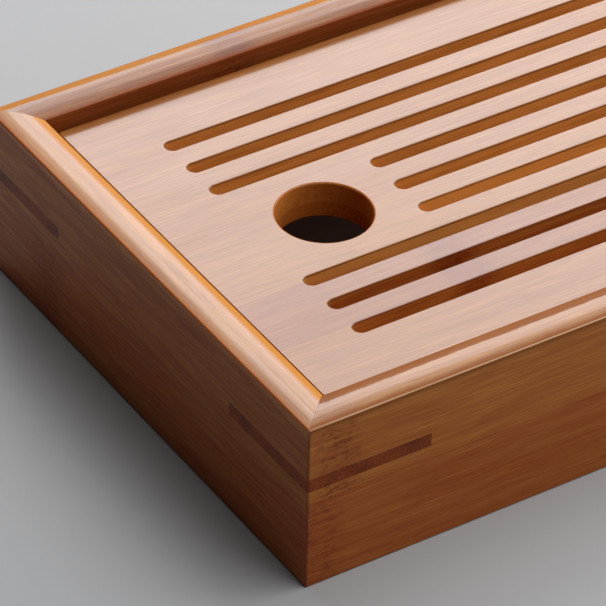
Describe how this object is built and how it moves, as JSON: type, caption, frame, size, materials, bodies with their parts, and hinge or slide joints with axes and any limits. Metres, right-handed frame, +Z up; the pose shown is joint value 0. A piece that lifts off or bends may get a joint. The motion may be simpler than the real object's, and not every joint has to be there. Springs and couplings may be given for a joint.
{
  "type": "gongfu tea tray",
  "caption": "Bamboo box tray with a slotted lift-off lid inside a raised, rounded rim; spilled tea drains through the lid into a loose pan underneath.",
  "frame": {"origin": "middle of the box's underside, at the level that it stands on", "axes": "+X along the length, away from the finger hole; +Y across the width, away from the front wall; +Z up"},
  "size_m": [0.28, 0.18, 0.058],
  "materials": {
    "wall_bamboo": "satin lacquer over carbonised bamboo",
    "key_bamboo": "satin lacquer over dark cross grain",
    "rail_bamboo": "thin lacquer over carbonised bamboo",
    "base_bamboo": "thin lacquer over bamboo ply",
    "lid_bamboo": "satin lacquer over carbonised bamboo",
    "lid_under_bamboo": "thin lacquer over carbonised bamboo",
    "pan_plastic": "fine moulded texture"
  },
  "bodies": {
    "box": {"front_wall": "wall_bamboo", "right_wall": "wall_bamboo", "back_wall": "wall_bamboo", "left_wall": "wall_bamboo", "front_rail": "rail_bamboo", "right_rail": "rail_bamboo", "back_rail": "rail_bamboo", "left_rail": "rail_bamboo", "front_left_key": "key_bamboo", "front_right_key": "key_bamboo", "back_left_key": "key_bamboo", "back_right_key": "key_bamboo", "base_panel": "base_bamboo"},
    "lid": {"lid_face_board": "lid_bamboo", "lid_under_board": "lid_under_bamboo"},
    "pan": {"water_pan": "pan_plastic"}
  },
  "joints": [
    {"name": "lid_lift", "type": "slide", "parent": "box", "child": "lid", "axis": [0, 0, 1], "range_m": [0, 0.12]},
    {"name": "water_pan_lift", "type": "slide", "parent": "box", "child": "pan", "axis": [0, 0, 1], "range_m": [0, 0.06]}
  ],
  "couplings": [
    {"joint": "water_pan_lift", "follows": "lid_lift", "ratio": 0.5}
  ]
}
